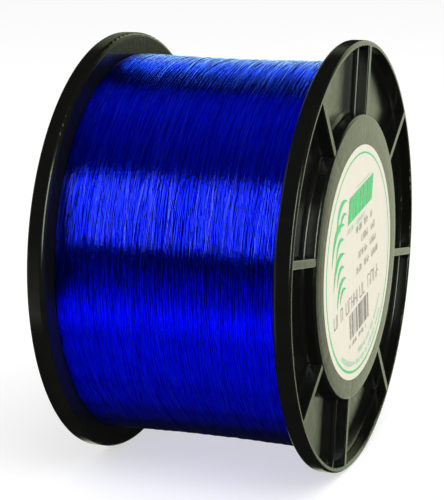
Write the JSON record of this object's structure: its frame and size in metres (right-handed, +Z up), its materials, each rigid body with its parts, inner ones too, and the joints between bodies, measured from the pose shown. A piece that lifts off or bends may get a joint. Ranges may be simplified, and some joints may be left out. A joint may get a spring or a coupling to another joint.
{
  "type": "fishing line spool",
  "caption": "Bulk spool of monofilament line: two ribbed round flanges on a hollow barrel, wound full, with a round paper label over one end of its arbor.",
  "frame": {"origin": "on the spool's axis, halfway between the outer faces of its two flanges", "axes": "+X along the axis, out through the flange that carries the label; +Z up with the spool standing on its rims; the side of the winding seen from the front faces -Y"},
  "size_m": [0.0913, 0.15, 0.15],
  "materials": {
    "moulded_black": "semi-gloss moulded plastic",
    "label_paper": "uncoated cream paper",
    "blue_line": "clear glossy monofilament",
    "clear_tape": "clear adhesive film"
  },
  "bodies": {
    "root": {"label_side_flange": "moulded_black", "back_flange": "moulded_black", "barrel": "moulded_black", "arbor_tube": "moulded_black", "paper_label": "label_paper", "wound_line": "blue_line", "start_tape": "clear_tape", "end_tape": "clear_tape"}
  },
  "joints": []
}
